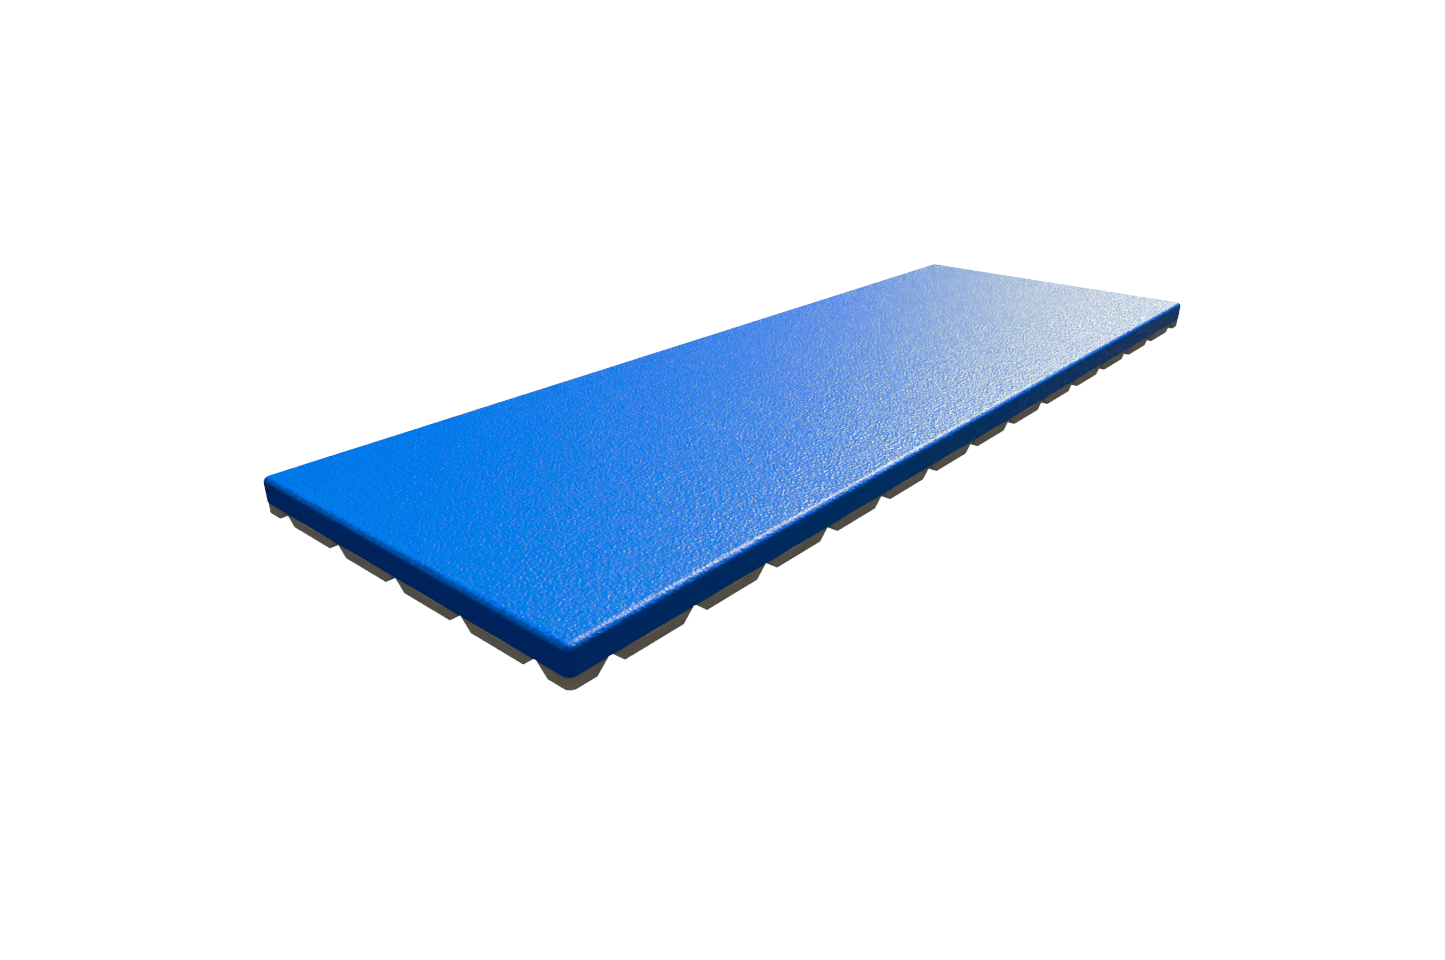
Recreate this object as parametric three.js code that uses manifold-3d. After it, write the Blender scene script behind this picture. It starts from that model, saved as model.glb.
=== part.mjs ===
// A free-draining resilient slab for a poolside deck: a rectangular foam slab inside a blue elastomer
// skin, standing on a base layer of 15 x 6 foam feet. V-grooves between the feet let water run out.
// Millimetres, +Z up. The origin is on the ground below the middle of the slab, X along its length.
import * as THREE from 'three';
import * as BufferGeometryUtils from 'three/addons/utils/BufferGeometryUtils.js';
import Module from 'manifold-3d';

// Overall size
const LENGTH = 2000;
const WIDTH = 700;
const HEIGHT = 60;
const CORNER_RADIUS = 12; // the four upright corners
const TOP_EDGE_RADIUS = 10; // the round between the top and the sides

// Skin, closing sheet and core
const SKIN_THICKNESS = 2;
const SHEET_THICKNESS = 1.5;
const VENT_DIAMETER = 6;
const VENT_FROM_CORNER = 21; // along the end wall, from the long side
const VENT_FROM_TOP = 18;
const VENT_DEPTH = 25; // from the end wall's face into the core foam

// Base layer of feet: rows across the slab, six feet to a row, taken as three pairs
const FOOT_HEIGHT = 18;
const FOOT_INSET = 1; // how far the feet stand back from the skin's sides
const FOOT_PITCH = 144; // the same along and across
const ROWS = 15;
const PAIRS = ['front', 'middle', 'back'];
const CROSS_GROOVES = ROWS - 1;
const LONG_GROOVES = 2 * PAIRS.length - 1;
const GROOVE_TOP_WIDTH = 5.4;
const GROOVE_MOUTH_WIDTH = 43.2;
const WEB_THICKNESS = 0.6; // the bridge of base foam that ties the two feet of a pair together

// Clearance between neighbouring pieces, and how far a cutting shape runs past what it cuts
const GAP = 0.3;
const OVERRUN = 20;
const ARC_STEPS = 8;

const wasm = await Module();
wasm.setup();

function toSolid(geometry) {
  geometry.deleteAttribute('normal');
  geometry.deleteAttribute('uv');
  const merged = BufferGeometryUtils.mergeVertices(geometry, 1e-4);
  const vertProperties = new Float32Array(merged.attributes.position.array);
  const triVerts = new Uint32Array(merged.index.array);
  return new wasm.Manifold(new wasm.Mesh({ numProp: 3, vertProperties, triVerts }));
}

function toGeometry(solid) {
  const mesh = solid.getMesh();
  const geometry = new THREE.BufferGeometry();
  geometry.setAttribute('position', new THREE.BufferAttribute(new Float32Array(mesh.vertProperties), 3));
  geometry.setIndex(new THREE.BufferAttribute(new Uint32Array(mesh.triVerts), 1));
  geometry.computeVertexNormals();
  return geometry;
}

function material(color, roughness) {
  return new THREE.MeshStandardMaterial({ color, roughness, metalness: 0 });
}

function namedMesh(name, solid, look) {
  const mesh = new THREE.Mesh(toGeometry(solid), look);
  mesh.name = name;
  return mesh;
}

// A rectangle with round corners, centred on the origin.
function roundedRectangle(length, width, radius) {
  const x = length / 2 - radius;
  const y = width / 2 - radius;
  const outline = new THREE.Shape();
  outline.absarc(x, y, radius, 0, Math.PI / 2);
  outline.absarc(-x, y, radius, Math.PI / 2, Math.PI);
  outline.absarc(-x, -y, radius, Math.PI, 1.5 * Math.PI);
  outline.absarc(x, -y, radius, 1.5 * Math.PI, 2 * Math.PI);
  return outline;
}

function plate(inset, zLow, zHigh) {
  const outline = roundedRectangle(LENGTH - 2 * inset, WIDTH - 2 * inset, CORNER_RADIUS - inset);
  const geometry = new THREE.ExtrudeGeometry(outline, {
    depth: zHigh - zLow,
    curveSegments: ARC_STEPS,
    bevelEnabled: false,
  });
  geometry.translate(0, 0, zLow);
  return toSolid(geometry);
}

// The slab's own form, drawn in by an equal inset on its sides and top: flat below, round along the
// top edges. The bevel that the extrusion also makes at its lower end lies below zLow and is cut off.
function slabForm(inset, zLow) {
  const edgeRadius = TOP_EDGE_RADIUS - inset;
  const outline = roundedRectangle(LENGTH - 2 * inset, WIDTH - 2 * inset, CORNER_RADIUS - inset);
  const zHigh = HEIGHT - inset;
  const geometry = new THREE.ExtrudeGeometry(outline, {
    depth: zHigh - edgeRadius - zLow + OVERRUN,
    curveSegments: ARC_STEPS,
    bevelSegments: ARC_STEPS,
    bevelThickness: edgeRadius,
    bevelSize: edgeRadius,
    bevelOffset: -edgeRadius,
  });
  geometry.translate(0, 0, zLow - OVERRUN);
  return toSolid(geometry).intersect(plate(0, zLow, HEIGHT));
}

// A vent through the end wall, near one long side, that lets the closed foam slab breathe. The same
// bore runs on into the core and ends there.
function ventBore() {
  const radius = VENT_DIAMETER / 2;
  const geometry = new THREE.CylinderGeometry(radius, radius, OVERRUN + VENT_DEPTH, 2 * ARC_STEPS);
  geometry.rotateZ(Math.PI / 2);
  const middle = (VENT_DEPTH - OVERRUN) / 2;
  geometry.translate(middle - LENGTH / 2, WIDTH / 2 - VENT_FROM_CORNER, HEIGHT - VENT_FROM_TOP);
  return toSolid(geometry);
}

function makeTopSkin() {
  const outside = slabForm(0, FOOT_HEIGHT);
  const inside = slabForm(SKIN_THICKNESS, FOOT_HEIGHT - OVERRUN);
  return outside.subtract(inside).subtract(ventBore());
}

function makeBottomSheet() {
  return plate(SKIN_THICKNESS + GAP, FOOT_HEIGHT, FOOT_HEIGHT + SHEET_THICKNESS);
}

function makeCoreSlab() {
  const block = slabForm(SKIN_THICKNESS + GAP, FOOT_HEIGHT + SHEET_THICKNESS + GAP);
  return block.subtract(ventBore());
}

// Half the width of a groove at height z: it widens in a straight line from its top to its mouth.
function grooveHalfWidth(z) {
  const slope = (GROOVE_MOUTH_WIDTH - GROOVE_TOP_WIDTH) / FOOT_HEIGHT;
  return (GROOVE_TOP_WIDTH + slope * (FOOT_HEIGHT - z)) / 2;
}

// The middle of groove k of a set of grooves that lies evenly about the slab's centre line.
function grooveCentre(k, grooves) {
  return (k - (grooves - 1) / 2) * FOOT_PITCH;
}

function prismAlongY(outline, length) {
  const geometry = new THREE.ExtrudeGeometry(outline, { depth: length, bevelEnabled: false });
  geometry.rotateX(Math.PI / 2);
  geometry.translate(0, length / 2, 0);
  return geometry;
}

function prismAlongX(outline, length) {
  const geometry = prismAlongY(outline, length);
  geometry.rotateZ(Math.PI / 2);
  return geometry;
}

function outlineOf(points) {
  return new THREE.Shape(points.map(([u, v]) => new THREE.Vector2(u, v)));
}

// The section of a strip of the base between two grooves, wide at the top and narrow on the ground.
// A strip at the rim has no groove there: it keeps an upright outer face.
function stripSection(leftGroove, rightGroove, grooves, rim) {
  const top = FOOT_HEIGHT - GAP;
  const left = (z) => {
    if (leftGroove < 0) return -rim;
    return grooveCentre(leftGroove, grooves) + grooveHalfWidth(z);
  };
  const right = (z) => {
    if (rightGroove >= grooves) return rim;
    return grooveCentre(rightGroove, grooves) - grooveHalfWidth(z);
  };
  return outlineOf([[left(0), 0], [right(0), 0], [right(top), top], [left(top), top]]);
}

// The groove between the two feet of a pair. It stops below their web and opens out past the ground.
function makeGroove(k) {
  const centre = grooveCentre(k, LONG_GROOVES);
  const crown = FOOT_HEIGHT - GAP - WEB_THICKNESS;
  const high = grooveHalfWidth(crown);
  const low = grooveHalfWidth(-OVERRUN);
  const corners = [
    [centre - low, -OVERRUN],
    [centre + low, -OVERRUN],
    [centre + high, crown],
    [centre - high, crown],
  ];
  return toSolid(prismAlongX(outlineOf(corners), LENGTH));
}

const baseLayer = plate(FOOT_INSET, 0, FOOT_HEIGHT - GAP);

function makeFootPair(row, pair) {
  const rowStrip = prismAlongY(stripSection(row - 1, row, CROSS_GROOVES, LENGTH / 2), WIDTH);
  const pairStrip = prismAlongX(stripSection(2 * pair - 1, 2 * pair + 1, LONG_GROOVES, WIDTH / 2), LENGTH);
  const block = toSolid(rowStrip).intersect(toSolid(pairStrip)).intersect(baseLayer);
  return block.subtract(makeGroove(2 * pair));
}

const skinLook = material(0x0a5cd6, 0.35);
const sheetLook = material(0x0b3f94, 0.6);
const coreLook = material(0x3c3d40, 0.95);
const footLook = material(0x9a9285, 0.95);

const slab = new THREE.Group();
slab.add(namedMesh('top_skin', makeTopSkin(), skinLook));
slab.add(namedMesh('bottom_sheet', makeBottomSheet(), sheetLook));
slab.add(namedMesh('core_slab', makeCoreSlab(), coreLook));

const base = new THREE.Group();
for (let row = 0; row < ROWS; row += 1) {
  const number = String(row + 1).padStart(2, '0');
  PAIRS.forEach((place, pair) => {
    base.add(namedMesh(`foot_pair_${number}_${place}`, makeFootPair(row, pair), footLook));
  });
}

const group = new THREE.Group();
group.add(slab, base);

export default group;
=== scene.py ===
"""The looks of a resilient pool deck slab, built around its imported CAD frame.

Metres, +Z up, the CAD's own frame: X along the slab, Y across it, the ground at z = 0.
"""

import math

import bpy
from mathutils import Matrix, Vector, noise

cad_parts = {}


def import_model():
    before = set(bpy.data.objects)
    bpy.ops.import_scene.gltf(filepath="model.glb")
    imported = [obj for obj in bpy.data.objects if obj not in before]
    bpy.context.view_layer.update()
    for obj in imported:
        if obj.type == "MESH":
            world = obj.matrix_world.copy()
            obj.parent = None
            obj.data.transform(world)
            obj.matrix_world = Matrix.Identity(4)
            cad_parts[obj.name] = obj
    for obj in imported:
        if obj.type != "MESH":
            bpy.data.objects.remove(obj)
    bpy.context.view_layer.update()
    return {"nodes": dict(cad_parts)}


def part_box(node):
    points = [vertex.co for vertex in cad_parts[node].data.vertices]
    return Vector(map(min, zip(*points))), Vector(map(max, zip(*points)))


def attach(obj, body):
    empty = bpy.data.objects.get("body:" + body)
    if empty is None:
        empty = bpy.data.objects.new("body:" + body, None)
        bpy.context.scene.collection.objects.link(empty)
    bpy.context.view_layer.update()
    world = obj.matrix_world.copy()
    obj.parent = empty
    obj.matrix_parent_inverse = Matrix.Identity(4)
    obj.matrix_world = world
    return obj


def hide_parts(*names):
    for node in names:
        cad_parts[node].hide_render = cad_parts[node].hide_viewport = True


MM = 0.001
QUARTER = math.pi / 2

# The camera, from the perspective of the slab's edges and grooves
CAMERA_SENSOR = 36.0
CAMERA_LENS = 24.61
CAMERA_REACH = 200.0
CAMERA_AT = (-1.569, -1.066, 0.668)
CAMERA_LOOKS_AT = (-0.546, -0.180, 0.055)

# The skin's form: the driving sizes of the CAD, and the finer ones that only the looks need
CORNER_RADIUS = 12 * MM
EDGE_RADIUS = 10 * MM
SKIN_THICKNESS = 2 * MM
LIP_RADIUS = 1.5 * MM  # the round of the sides' lower edge
GRID_STEP = 4.6 * MM  # between the points of the mesh on top
CORNER_STEPS = 8
EDGE_STEPS = 8
SIDE_STEPS = 7
LIP_STEPS = 3
INNER_EDGE_STEPS = 4

# The skin's relief in the mesh. A frequency counts waves in a metre
PEEL_HEIGHT = 0.09 * MM
PEEL_FREQUENCY = 75.0
PEEL_FRACTAL = (1.0, 2.0, 2)  # its fractal increment, lacunarity and octaves
SWELL_HEIGHT = 0.175 * MM
SWELL_FREQUENCY = 9.0
SWELL_ON_SIDES = 0.35  # the share of the swell that goes on down the sides

# Vent: a slanting oval hole with a rounded mouth, through the wall at the -X end
VENT_FROM_CORNER = 21 * MM
VENT_FROM_TOP = 18 * MM
VENT_RADIUS = 2.9 * MM
VENT_LENGTH = 1.15  # the oval's half axes, in radii
VENT_BREADTH = 0.8
VENT_SLANT = math.radians(40)
VENT_MOUTH = 0.9 * MM  # how far its mouth rounds out
VENT_MOUTH_CURVE = 1.5  # above 1, the mouth narrows fast at first and then slowly
VENT_MOUTH_STEPS = 5
VENT_SIDES = 32

# Base of feet
PITCH = 144 * MM
ROWS = 15
FEET_PER_ROW = 6
PAIR_PLACES = ("front", "middle", "back")
FOOT_INSET = 1 * MM
GROOVE_TOP = 5.4 * MM
GROOVE_MOUTH = 43.2 * MM
FOOT_EDGE = 0.9 * MM
FOOT_EDGE_STEPS = 4
FOOT_SIDE_STEPS = 6
SHARPEST_RADIUS = 0.1 * MM

# The skin's material. Its patterns are noises, by their waves in a metre and their detail
# the skin's dark end is also the painted shade in the grain's hollows, its light end the painted light on
# the crests
SKIN_DARK_AND_PAINTED_SHADE = (0.0, 0.094, 0.46)
SKIN_LIGHT_AND_PAINTED_LIGHT = (0.0, 0.154, 0.67)
SKIN_LIGHT_AND_PAINTED_LIGHT_AT = 0.9
PEEL_NOISE = (215, 0.6)
PEEL_DISTORTION = 0.4
PEBBLE_NOISE = (90, 1.0)
RIPPLE_NOISE = (60, 1.0)
PATCH_NOISE = (7, 3.0)
GRAIN_DEPTH = 1.9 * MM
GRAIN_FROM = 50 * MM  # the grain fades out round the top edge, between these two heights
GRAIN_FULL = 55.5 * MM
PEEL_SHARE = 0.7  # how much of the grain is peel, the rest is pebble
RIPPLE_SHARE = 0.05  # the ripple runs on down the sides
PAINTED_CREST_LIGHT_FROM = 0.38  # the grain's crests get painted light and its hollows painted shade in the colour: from here on, and fully
PAINTED_CREST_LIGHT_FULL = 0.54
PAINTED_CREST_LIGHT_SHARE = 0.7  # how much of the colour comes from the painted crest light and hollow shade, the rest from random patches
POLISH_LOW = 0.36
POLISH_HIGH = 0.64
DULLEST = 0.43  # the roughness at the low end of the polish
GLOSSIEST = 0.31
EDGE_DULLING = 0.07  # added to the roughness towards the edge
DULL_FROM = 338 * MM  # where that begins and ends, from the middle of the slab's width
DULL_FULL = 343 * MM
LENGTH_OVER_WIDTH = 650 * MM  # how much farther out the ends are than the sides

# The foams: the feet, and the core that shows in the vent
FOOT_DARK = (0.56, 0.53, 0.19)
FOOT_LIGHT = (0.69, 0.655, 0.245)
FOOT_STRATA = 0.25  # how much of the mottle is level layers
FOOT_PORES = 0.25 * MM
CORE_DARK = (0.028, 0.029, 0.031)
CORE_LIGHT = (0.045, 0.046, 0.05)
CORE_STRATA = 0.1
CORE_PORES = 0.3 * MM
STRATA_STRETCH = (6, 6, 420)
STRATA_NOISE = (1.0, 2.0)
STRATA_RELIEF = 0.6
BLOTCH_NOISE = (38, 4.0)
BLOTCH_SHARE = 0.5
SPECKLE_NOISE = (620, 2.0)
CELL_SCALE = 900
MOTTLE_LOW = 0.36
MOTTLE_HIGH = 0.64
FOAM_ROUGHNESS = (0.84, 0.96)
FOAM_SPECULAR = 0.3

# The part of a soft noise's range that is spread over a whole range of colour or roughness
SPREAD_LOW = 0.3
SPREAD_HIGH = 0.7

# The bottom sheet
SHEET_DARK = (0.0, 0.045, 0.22)
SHEET_LIGHT = (0.0, 0.06, 0.29)
SHEET_PATCH_NOISE = (14, 3.0)
SHEET_GLOSS_NOISE = (60, 2.0)
SHEET_ROUGHNESS = (0.5, 0.62)
PRESS_NOISE = (700, 2.0)
PRESS_DEPTH = 0.3 * MM

# Light: a low sun off the far end, a weak lamp overhead, and a dim blue one that only gives gloss
SUN_AZIMUTH = math.radians(13.5)
SUN_ELEVATION = math.radians(39)
SUN_STRENGTH = 5.1
SUN_ANGLE = math.radians(8)
FILL_STRENGTH = 1.3
FILL_ANGLE = math.radians(20)
GLOSS_AZIMUTH = math.radians(120)
GLOSS_ELEVATION = math.radians(17)
GLOSS_STRENGTH = 0.4
GLOSS_COLOUR = (0.25, 0.4, 1.0)
GLOSS_ANGLE = math.radians(14)

# Surroundings: white to the camera, a dim sky and ground to everything else
WHITE = 2.6
SKY_LIGHT = (0.19, 0.155, 0.20)
GROUND_LIGHT = (0.105, 0.085, 0.11)
SKY_MIRRORED = (0.004, 0.012, 0.04)
GROUND_MIRRORED = (0.26, 0.2, 0.08)
HORIZON_BLUR = 0.08
MIRROR_FROM = 0.2  # towards +X the reflections grow from the least to full, between these two
MIRROR_FULL = 0.8
MIRROR_LEAST = 0.15
FLOOR_REACH = 40.0
FLOOR_GREY = 0.8

# Tone: display brightness for scene brightness, with a soft shoulder up to the white surround
TONE = ((0, 0), (0.25, 0.24), (0.5, 0.445), (0.7, 0.58), (0.9, 0.665),
        (1.05, 0.71), (1.5, 0.785), (2.1, 0.86), (2.5, 1))
# Before that the red of deep blues is cut, and blue is lifted, most of all in sunlit blues
RED_TONE = ((0, 0), (0.018, 0), (0.04, 0.024), (0.12, 0.11), (0.3, 0.3), (3, 3))
BLUE_TONE = ((0, 0), (0.06, 0.088), (0.2, 0.25), (0.42, 0.5), (0.56, 0.9), (0.7, 1.7), (0.82, 1.95),
             (0.94, 1.55), (1.06, 1.12), (1.25, 1.09), (1.5, 1.4), (1.8, 1.9), (3, 3))


# ---------------------------------------------------------------- mesh helpers


def add_object(name, data):
    obj = bpy.data.objects.new(name, data)
    bpy.context.scene.collection.objects.link(obj)
    return obj


def mesh_object(name, verts, faces, material):
    mesh = bpy.data.meshes.new(name)
    mesh.from_pydata(verts, [], faces)
    mesh.validate()
    mesh.shade_smooth()
    mesh.materials.append(material)
    return add_object(name, mesh)


def apply_modifiers(obj):
    bpy.context.view_layer.update()
    graph = bpy.context.evaluated_depsgraph_get()
    mesh = bpy.data.meshes.new_from_object(obj.evaluated_get(graph))
    obj.modifiers.clear()
    obj.data = mesh


def steps_between(start, end, count):
    return [start + (end - start) * k / count for k in range(count + 1)]


def bridge(upper, lower):
    """Faces between two closed rings of vertices; a triangle where the upper ring stays on one vertex."""
    faces = []
    for k in range(len(lower)):
        m = (k + 1) % len(lower)
        corners = (upper[k], lower[k], lower[m], upper[m])
        faces.append(corners[:3] if upper[k] == upper[m] else corners)
    return faces


def tube(rings):
    """Vertices and faces of a solid through rings of points, capped at both ends."""
    count = len(rings[0])
    verts = [point for ring in rings for point in ring]
    numbers = [range(first, first + count) for first in range(0, len(verts), count)]
    faces = []
    for lower, upper in zip(numbers, numbers[1:]):
        faces += bridge(upper, lower)
    faces.append(tuple(reversed(numbers[0])))
    faces.append(tuple(numbers[-1]))
    return verts, faces


# ---------------------------------------------------------------- skin


def relief(point, tilt):
    """How far the skin stands off its true surface: a slow swell, and the coarse peel of the top.

    The tilt is the angle of the surface's normal from upright.
    """
    on_top = math.sqrt(max(math.cos(tilt), 0.0))
    swell = noise.noise(point * SWELL_FREQUENCY) * SWELL_HEIGHT
    peel = noise.fractal(point * PEEL_FREQUENCY, *PEEL_FRACTAL) * PEEL_HEIGHT
    return swell * (SWELL_ON_SIDES + (1 - SWELL_ON_SIDES) * on_top) + peel * on_top


def skin_profile(top, bottom):
    """(offset from the top grid's rim, height, tilt) from there round to the inside, which has no tilt."""
    edge_start = CORNER_RADIUS - EDGE_RADIUS
    lip_top = bottom + LIP_RADIUS
    inner_radius = EDGE_RADIUS - SKIN_THICKNESS
    profile = []
    for a in steps_between(0, QUARTER, EDGE_STEPS):
        out = edge_start + EDGE_RADIUS * math.sin(a)
        profile.append((out, top - EDGE_RADIUS * (1 - math.cos(a)), a))
    for z in steps_between(top - EDGE_RADIUS, lip_top, SIDE_STEPS)[1:]:
        profile.append((CORNER_RADIUS, z, QUARTER))
    for a in steps_between(0, QUARTER, LIP_STEPS)[1:]:
        out = CORNER_RADIUS - LIP_RADIUS * (1 - math.cos(a))
        profile.append((out, lip_top - LIP_RADIUS * math.sin(a), None))
    profile.append((CORNER_RADIUS - SKIN_THICKNESS, bottom, None))
    for a in steps_between(QUARTER, 0, INNER_EDGE_STEPS):
        out = edge_start + inner_radius * math.sin(a)
        profile.append((out, top - SKIN_THICKNESS - inner_radius * (1 - math.cos(a)), None))
    return profile


def top_grid(half_x, half_y, top, columns, rows):
    """Points and faces of the top inside its round edges."""
    verts = []
    for y in steps_between(-half_y, half_y, rows - 1):
        for x in steps_between(-half_x, half_x, columns - 1):
            point = Vector((x, y, top))
            point.z += relief(point, 0.0)
            verts.append(point)
    faces = []
    for j in range(rows - 1):
        for i in range(columns - 1):
            a = j * columns + i
            faces.append((a, a + 1, a + 1 + columns, a + columns))
    return verts, faces


def grid_rim(columns, rows):
    """(vertex, direction it faces) round the grid's rim; at a corner the direction turns on one vertex."""
    sides = [
        list(range(columns)),
        [j * columns + columns - 1 for j in range(rows)],
        [(rows - 1) * columns + i for i in reversed(range(columns))],
        [j * columns for j in reversed(range(rows))],
    ]
    contour = []
    for number, side in enumerate(sides):
        facing = (number - 1) * QUARTER
        contour += [(vertex, facing) for vertex in side]
        turns = steps_between(facing, facing + QUARTER, CORNER_STEPS)[1:-1]
        contour += [(side[-1], turn) for turn in turns]
    return contour


def build_skin(low, high, material):
    """One closed shell: the grained top, its round edge, the sides, a rolled lip and the inside."""
    half_x = high.x - CORNER_RADIUS
    half_y = high.y - CORNER_RADIUS
    columns = round(2 * half_x / GRID_STEP) + 1
    rows = round(2 * half_y / GRID_STEP) + 1
    verts, faces = top_grid(half_x, half_y, high.z, columns, rows)
    contour = grid_rim(columns, rows)
    upper = [vertex for vertex, _ in contour]
    for out, z, tilt in skin_profile(high.z, low.z):
        lower = range(len(verts), len(verts) + len(contour))
        for vertex, facing in contour:
            away = Vector((math.cos(facing), math.sin(facing), 0))
            point = verts[vertex] + away * out
            point.z = z
            if tilt is not None:
                normal = away * math.sin(tilt) + Vector((0, 0, math.cos(tilt)))
                point += normal * relief(point, tilt)
            verts.append(point)
        faces += bridge(upper, lower)
        upper = lower
    faces.append(tuple(reversed(upper)))
    return mesh_object("skin", verts, faces, material)


# ---------------------------------------------------------------- vent


def vent_profile():
    """(depth, radius) along the vent: a rounded mouth, then a straight bore through the wall."""
    profile = [(-VENT_MOUTH, VENT_RADIUS + VENT_MOUTH), (0.0, VENT_RADIUS + VENT_MOUTH)]
    for a in steps_between(0, QUARTER, VENT_MOUTH_STEPS)[1:]:
        widening = VENT_MOUTH * (1 - math.sin(a)) ** VENT_MOUTH_CURVE
        profile.append((VENT_MOUTH * math.sin(a), VENT_RADIUS + widening))
    profile.append((SKIN_THICKNESS + VENT_MOUTH, VENT_RADIUS))
    return profile


def vent_ring(centre, depth, radius):
    points = []
    for k in range(VENT_SIDES):
        a = 4 * QUARTER * k / VENT_SIDES
        along = VENT_LENGTH * radius * math.cos(a)
        across = VENT_BREADTH * radius * math.sin(a)
        y = along * math.cos(VENT_SLANT) - across * math.sin(VENT_SLANT)
        z = along * math.sin(VENT_SLANT) + across * math.cos(VENT_SLANT)
        points.append(centre + Vector((depth, y, z)))
    return points


def cut_vent(skin, high, lining):
    """Cuts the vent through the end wall; what the cut lays bare gets the lining's material."""
    centre = Vector((-high.x, high.y - VENT_FROM_CORNER, high.z - VENT_FROM_TOP))
    verts, faces = tube([vent_ring(centre, depth, radius) for depth, radius in vent_profile()])
    cutter = mesh_object("vent_cutter", verts, faces, lining)
    cut = skin.modifiers.new("vent", "BOOLEAN")
    cut.operation = "DIFFERENCE"
    cut.solver = "EXACT"
    cut.material_mode = "TRANSFER"
    cut.object = cutter
    apply_modifiers(skin)
    bpy.data.objects.remove(cutter)


# ---------------------------------------------------------------- feet


def foot_span(index, count, rim, z, foot_height):
    """The low and high side of foot number index of count along one axis, at height z."""
    groove_half = GROOVE_TOP / 2 + (GROOVE_MOUTH - GROOVE_TOP) / 2 * (1 - z / foot_height)
    low_groove = (index - count / 2) * PITCH
    low = -rim if index == 0 else low_groove + groove_half
    high = rim if index == count - 1 else low_groove + PITCH - groove_half
    return low, high


def foot_radii(row, place):
    """The radius of each upright corner, counter-clockwise: the slab's own round at its four corners."""
    first_x, last_x = row == 0, row == ROWS - 1
    first_y, last_y = place == 0, place == FEET_PER_ROW - 1
    outermost = (first_x and first_y, last_x and first_y, last_x and last_y, first_x and last_y)
    return [CORNER_RADIUS - FOOT_INSET if outer else FOOT_EDGE for outer in outermost]


def foot_ring(x, y, inset, radii, z):
    """A rectangle with its own radius at each corner, counter-clockwise from the low corner."""
    corners = [(x[0], y[0], 1, 1), (x[1], y[0], -1, 1), (x[1], y[1], -1, -1), (x[0], y[1], 1, -1)]
    points = []
    for number, (corner_x, corner_y, inward_x, inward_y) in enumerate(corners):
        radius = max(radii[number] - inset, SHARPEST_RADIUS)
        set_in = inset + radius
        centre = Vector((corner_x + inward_x * set_in, corner_y + inward_y * set_in, z))
        first = (2 + number) * QUARTER
        for a in steps_between(first, first + QUARTER, CORNER_STEPS):
            points.append(centre + Vector((math.cos(a), math.sin(a), 0)) * radius)
    return points


def build_foot(row, place, rim_x, rim_y, foot_height, material):
    """A truncated pyramid, wide at the top, with a small round where its sides meet the ground."""
    levels = []
    for a in steps_between(0, QUARTER, FOOT_EDGE_STEPS):
        levels.append((FOOT_EDGE * (1 - math.sin(a)), FOOT_EDGE * (1 - math.cos(a))))
    for z in steps_between(FOOT_EDGE, foot_height, FOOT_SIDE_STEPS)[1:]:
        levels.append((0.0, z))
    radii = foot_radii(row, place)
    rings = []
    for inset, z in levels:
        x = foot_span(row, ROWS, rim_x, z, foot_height)
        y = foot_span(place, FEET_PER_ROW, rim_y, z, foot_height)
        rings.append(foot_ring(x, y, inset, radii, z))
    return mesh_object(f"foot_{row + 1:02d}_{place + 1}", *tube(rings), material)


# ---------------------------------------------------------------- material helpers


def new_material(name):
    material = bpy.data.materials.new(name)
    material.use_nodes = True
    return material, material.node_tree, material.node_tree.nodes["Principled BSDF"]


def add_node(tree, kind, inputs=None, **settings):
    node = tree.nodes.new("ShaderNode" + kind)
    for name, value in settings.items():
        setattr(node, name, value)
    for name, value in (inputs or {}).items():
        node.inputs[name].default_value = value
    return node


def noise_of(tree, vector, pattern, distortion=0.0):
    scale, detail = pattern
    made = add_node(tree, "TexNoise", {"Scale": scale, "Detail": detail, "Distortion": distortion})
    tree.links.new(vector, made.inputs["Vector"])
    return made.outputs["Fac"]


def ranged(tree, value, low, high, to_low, to_high):
    limits = {"From Min": low, "From Max": high, "To Min": to_low, "To Max": to_high}
    made = add_node(tree, "MapRange", limits)
    tree.links.new(value, made.inputs["Value"])
    return made.outputs["Result"]


def ramp_of(tree, value, low, low_colour, high, high_colour):
    made = add_node(tree, "ValToRGB")
    first, last = made.color_ramp.elements
    first.position = low
    first.color = (*low_colour, 1)
    last.position = high
    last.color = (*high_colour, 1)
    tree.links.new(value, made.inputs["Fac"])
    return made.outputs["Color"]


def math_of(tree, operation, *values):
    made = add_node(tree, "Math", operation=operation)
    for socket, value in zip(made.inputs, values):
        if isinstance(value, (int, float)):
            socket.default_value = value
        else:
            tree.links.new(value, socket)
    return made.outputs["Value"]


def weighted_sum(tree, *parts):
    """The sum of values times their weights."""
    total = 0.0
    for value, weight in parts:
        total = math_of(tree, "MULTIPLY_ADD", value, weight, total)
    return total


def add_bump(tree, shader, height, distance):
    bump = add_node(tree, "Bump", {"Distance": distance})
    tree.links.new(height, bump.inputs["Height"])
    tree.links.new(bump.outputs["Normal"], shader.inputs["Normal"])


# ---------------------------------------------------------------- materials


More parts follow.
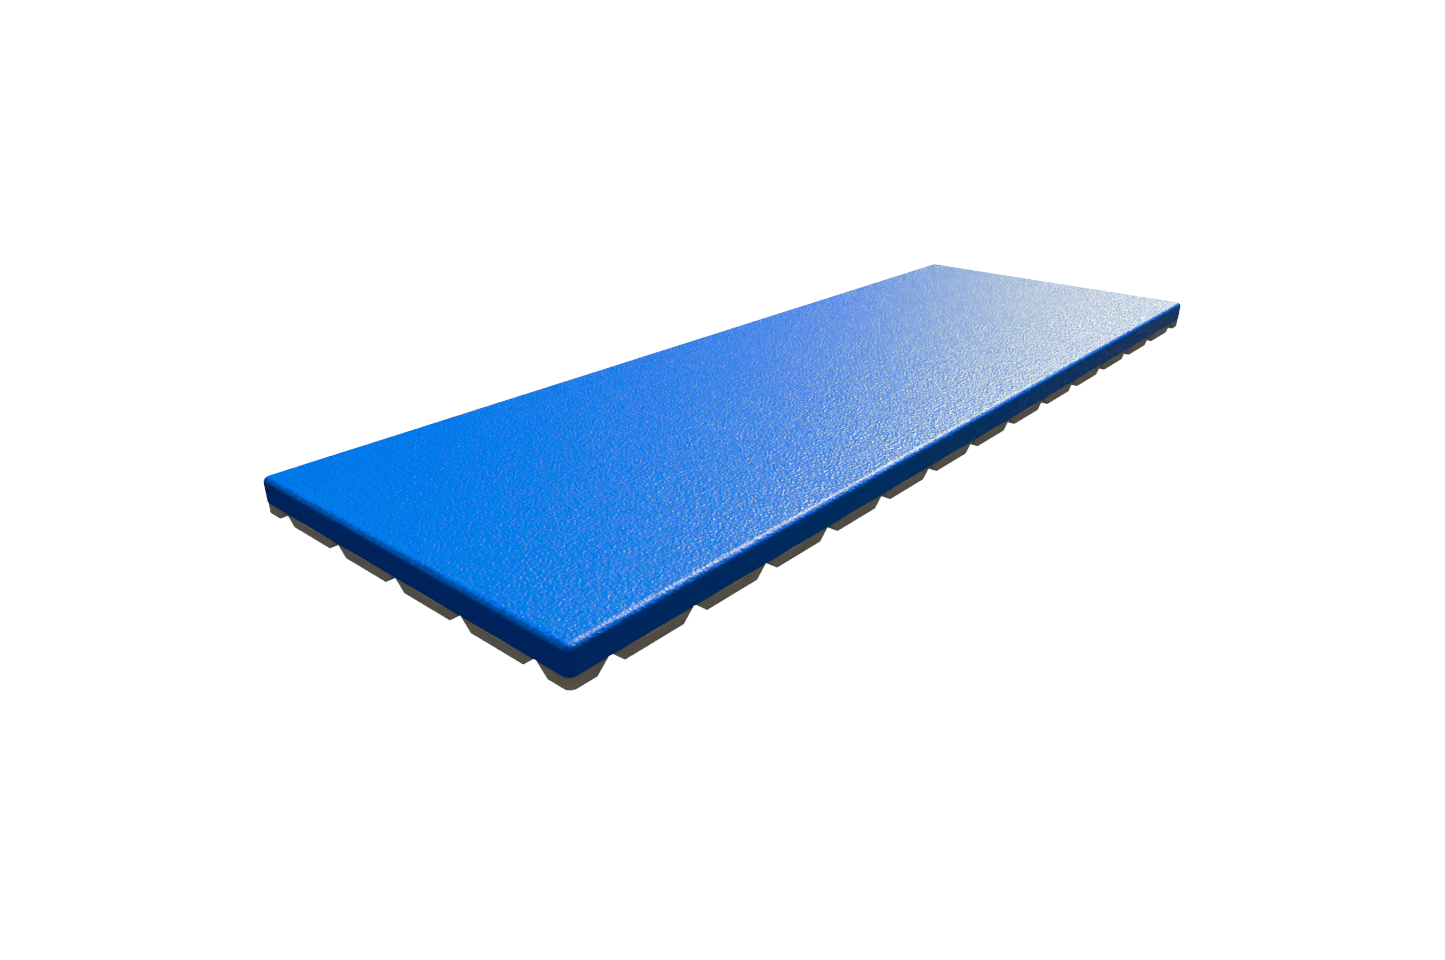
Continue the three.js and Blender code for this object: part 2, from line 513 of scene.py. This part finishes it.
def skin_material():
    """Glossy blue elastomer: coarse orange peel on top that fades out round the edge, smoother sides, with
    painted light on the peel's crests and painted shade in its hollows.
    """
    material, tree, shader = new_material("skin_blue_elastomer")
    place = add_node(tree, "TexCoord").outputs["Object"]
    split = add_node(tree, "SeparateXYZ")
    tree.links.new(place, split.inputs["Vector"])
    on_top = ranged(tree, split.outputs["Z"], GRAIN_FROM, GRAIN_FULL, 0.0, 1.0)
    peel = noise_of(tree, place, PEEL_NOISE, PEEL_DISTORTION)
    pebble = noise_of(tree, place, PEBBLE_NOISE)
    ripple = noise_of(tree, place, RIPPLE_NOISE)
    patches = noise_of(tree, place, PATCH_NOISE)

    grain = weighted_sum(tree, (peel, PEEL_SHARE), (pebble, 1 - PEEL_SHARE))
    height = weighted_sum(tree, (grain, on_top), (ripple, RIPPLE_SHARE))
    add_bump(tree, shader, height, GRAIN_DEPTH)

    # painted light on the grain's crests and painted shade in its hollows, in the base colour
    painted_crest_light = math_of(tree, "MULTIPLY", ranged(tree, grain, PAINTED_CREST_LIGHT_FROM, PAINTED_CREST_LIGHT_FULL, 0.0, 1.0), on_top)
    patches_and_painted_shade = weighted_sum(tree, (patches, 1 - PAINTED_CREST_LIGHT_SHARE), (painted_crest_light, PAINTED_CREST_LIGHT_SHARE))
    tint = ramp_of(tree, patches_and_painted_shade, 0.0, SKIN_DARK_AND_PAINTED_SHADE, SKIN_LIGHT_AND_PAINTED_LIGHT_AT, SKIN_LIGHT_AND_PAINTED_LIGHT)
    tree.links.new(tint, shader.inputs["Base Color"])

    polish = weighted_sum(tree, (peel, 0.5), (pebble, 0.5))
    roughness = ranged(tree, polish, POLISH_LOW, POLISH_HIGH, DULLEST, GLOSSIEST)
    along = math_of(tree, "SUBTRACT", math_of(tree, "ABSOLUTE", split.outputs["X"]), LENGTH_OVER_WIDTH)
    across = math_of(tree, "ABSOLUTE", split.outputs["Y"])
    dulling = ranged(tree, math_of(tree, "MAXIMUM", along, across), DULL_FROM, DULL_FULL, 0.0, EDGE_DULLING)
    tree.links.new(math_of(tree, "ADD", roughness, dulling), shader.inputs["Roughness"])
    return material


def foam_material(name, dark, light, strata_share, pore_depth):
    """Fine-celled foam: mottled colour, faint level layers, and a skin of small open cells."""
    material, tree, shader = new_material(name)
    place = add_node(tree, "TexCoord").outputs["Object"]
    flattened = add_node(tree, "Mapping", {"Scale": STRATA_STRETCH})
    tree.links.new(place, flattened.inputs["Vector"])
    strata = noise_of(tree, flattened.outputs["Vector"], STRATA_NOISE)
    blotches = noise_of(tree, place, BLOTCH_NOISE)
    speckle = noise_of(tree, place, SPECKLE_NOISE)
    speckle_share = 1 - BLOTCH_SHARE - strata_share
    mottle = weighted_sum(tree, (strata, strata_share), (blotches, BLOTCH_SHARE), (speckle, speckle_share))
    tint = ramp_of(tree, mottle, MOTTLE_LOW, dark, MOTTLE_HIGH, light)
    tree.links.new(tint, shader.inputs["Base Color"])

    cells = add_node(tree, "TexVoronoi", {"Scale": CELL_SCALE}, feature="SMOOTH_F1")
    tree.links.new(place, cells.inputs["Vector"])
    height = weighted_sum(tree, (cells.outputs["Distance"], 1.0), (strata, STRATA_RELIEF))
    add_bump(tree, shader, height, pore_depth)

    roughness = ranged(tree, blotches, SPREAD_LOW, SPREAD_HIGH, *FOAM_ROUGHNESS)
    tree.links.new(roughness, shader.inputs["Roughness"])
    shader.inputs["Specular IOR Level"].default_value = FOAM_SPECULAR
    return material


def sheet_material():
    """The elastomer sheet under the slab: satin dark blue with a fine cloth-like press mark."""
    material, tree, shader = new_material("sheet_satin_elastomer")
    place = add_node(tree, "TexCoord").outputs["Object"]
    patches = noise_of(tree, place, SHEET_PATCH_NOISE)
    tint = ramp_of(tree, patches, SPREAD_LOW, SHEET_DARK, SPREAD_HIGH, SHEET_LIGHT)
    tree.links.new(tint, shader.inputs["Base Color"])
    gloss = noise_of(tree, place, SHEET_GLOSS_NOISE)
    roughness = ranged(tree, gloss, SPREAD_LOW, SPREAD_HIGH, *SHEET_ROUGHNESS)
    tree.links.new(roughness, shader.inputs["Roughness"])
    add_bump(tree, shader, noise_of(tree, place, PRESS_NOISE), PRESS_DEPTH)
    return material


# ---------------------------------------------------------------- surroundings, light, camera


def set_tone():
    view = bpy.context.scene.view_settings
    view.view_transform = "Standard"
    view.use_curve_mapping = True
    mapping = view.curve_mapping
    mapping.use_clip = False
    red, _, blue, all_channels = mapping.curves
    for curve, points in ((red, RED_TONE), (blue, BLUE_TONE), (all_channels, TONE)):
        while len(curve.points) > 2:
            curve.points.remove(curve.points[1])
        curve.points[0].location = points[0]
        curve.points[1].location = points[-1]
        for x, y in points[1:-1]:
            curve.points.new(x, y)
    mapping.update()


def build_stage():
    """A floor as white as the surround, that lights nothing and is not mirrored."""
    material, _, shader = new_material("pale_floor")
    shader.inputs["Base Color"].default_value = (FLOOR_GREY, FLOOR_GREY, FLOOR_GREY, 1)
    shader.inputs["Roughness"].default_value = 1.0
    shader.inputs["Specular IOR Level"].default_value = 0.0
    shader.inputs["Emission Color"].default_value = (1, 1, 1, 1)
    shader.inputs["Emission Strength"].default_value = WHITE
    r = FLOOR_REACH
    floor = mesh_object("floor", [(-r, -r, 0), (r, -r, 0), (r, r, 0), (-r, r, 0)], [(0, 1, 2, 3)], material)
    floor.visible_diffuse = False
    floor.visible_glossy = False


def build_world():
    """White to the camera; to all else a dim sky over a darker ground, and others yet in reflections."""
    world = bpy.data.worlds.new("studio")
    bpy.context.scene.world = world
    world.use_nodes = True
    tree = world.node_tree
    split = add_node(tree, "SeparateXYZ")
    tree.links.new(add_node(tree, "TexCoord").outputs["Generated"], split.inputs["Vector"])
    up = ranged(tree, split.outputs["Z"], -HORIZON_BLUR, HORIZON_BLUR, 0.0, 1.0)
    light = tree.nodes["Background"]
    tree.links.new(ramp_of(tree, up, 0.0, GROUND_LIGHT, 1.0, SKY_LIGHT), light.inputs["Color"])
    mirrored = add_node(tree, "Background")
    tree.links.new(ramp_of(tree, up, 0.0, GROUND_MIRRORED, 1.0, SKY_MIRRORED), mirrored.inputs["Color"])
    strength = ranged(tree, split.outputs["X"], MIRROR_FROM, MIRROR_FULL, MIRROR_LEAST, 1.0)
    tree.links.new(strength, mirrored.inputs["Strength"])
    seen = add_node(tree, "Background", {"Color": (1, 1, 1, 1), "Strength": WHITE})
    path = add_node(tree, "LightPath")
    previous = light
    for switch, background in (("Is Glossy Ray", mirrored), ("Is Camera Ray", seen)):
        mix = add_node(tree, "MixShader")
        tree.links.new(path.outputs[switch], mix.inputs["Fac"])
        tree.links.new(previous.outputs[0], mix.inputs[1])
        tree.links.new(background.outputs[0], mix.inputs[2])
        previous = mix
    tree.links.new(previous.outputs[0], tree.nodes["World Output"].inputs["Surface"])


def direction(azimuth, elevation):
    level = math.cos(elevation)
    return Vector((math.cos(azimuth) * level, math.sin(azimuth) * level, math.sin(elevation)))


def place_sun(name, strength, angle, towards):
    light = bpy.data.lights.new(name, "SUN")
    light.energy = strength
    light.angle = angle
    lamp = add_object(name, light)
    lamp.rotation_euler = towards.to_track_quat("Z", "Y").to_euler()
    return lamp


def build_lights():
    place_sun("sun", SUN_STRENGTH, SUN_ANGLE, direction(SUN_AZIMUTH, SUN_ELEVATION))
    fill = place_sun("overhead_fill", FILL_STRENGTH, FILL_ANGLE, Vector((0, 0, 1)))
    fill.visible_glossy = False
    rim = place_sun("rim_gloss", GLOSS_STRENGTH, GLOSS_ANGLE, direction(GLOSS_AZIMUTH, GLOSS_ELEVATION))
    rim.visible_diffuse = False
    rim.data.color = GLOSS_COLOUR


def build_camera():
    data = bpy.data.cameras.new("camera")
    data.sensor_width = CAMERA_SENSOR
    data.lens = CAMERA_LENS
    data.clip_end = CAMERA_REACH
    camera = add_object("camera", data)
    camera.location = CAMERA_AT
    aim = Vector(CAMERA_LOOKS_AT) - Vector(CAMERA_AT)
    camera.rotation_euler = aim.to_track_quat("-Z", "Y").to_euler()
    bpy.context.scene.camera = camera


# ---------------------------------------------------------------- build


def main():
    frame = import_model()
    set_tone()
    build_camera()
    build_world()
    build_lights()
    build_stage()

    skin_low, skin_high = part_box("top_skin")
    core_foam = foam_material("core_foam", CORE_DARK, CORE_LIGHT, CORE_STRATA, CORE_PORES)
    skin = build_skin(skin_low, skin_high, skin_material())
    cut_vent(skin, skin_high, core_foam)
    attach(skin, "root")
    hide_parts("top_skin")

    foot_foam = foam_material("foot_foam", FOOT_DARK, FOOT_LIGHT, FOOT_STRATA, FOOT_PORES)
    rim_x = skin_high.x - FOOT_INSET
    rim_y = skin_high.y - FOOT_INSET
    for row in range(ROWS):
        for place in range(FEET_PER_ROW):
            foot = build_foot(row, place, rim_x, rim_y, skin_low.z, foot_foam)
            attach(foot, "root")
            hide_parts(f"foot_pair_{row + 1:02d}_{PAIR_PLACES[place // 2]}")

    for node, look in (("bottom_sheet", sheet_material()), ("core_slab", core_foam)):
        for material_slot in frame["nodes"][node].material_slots:
            material_slot.material = look


main()
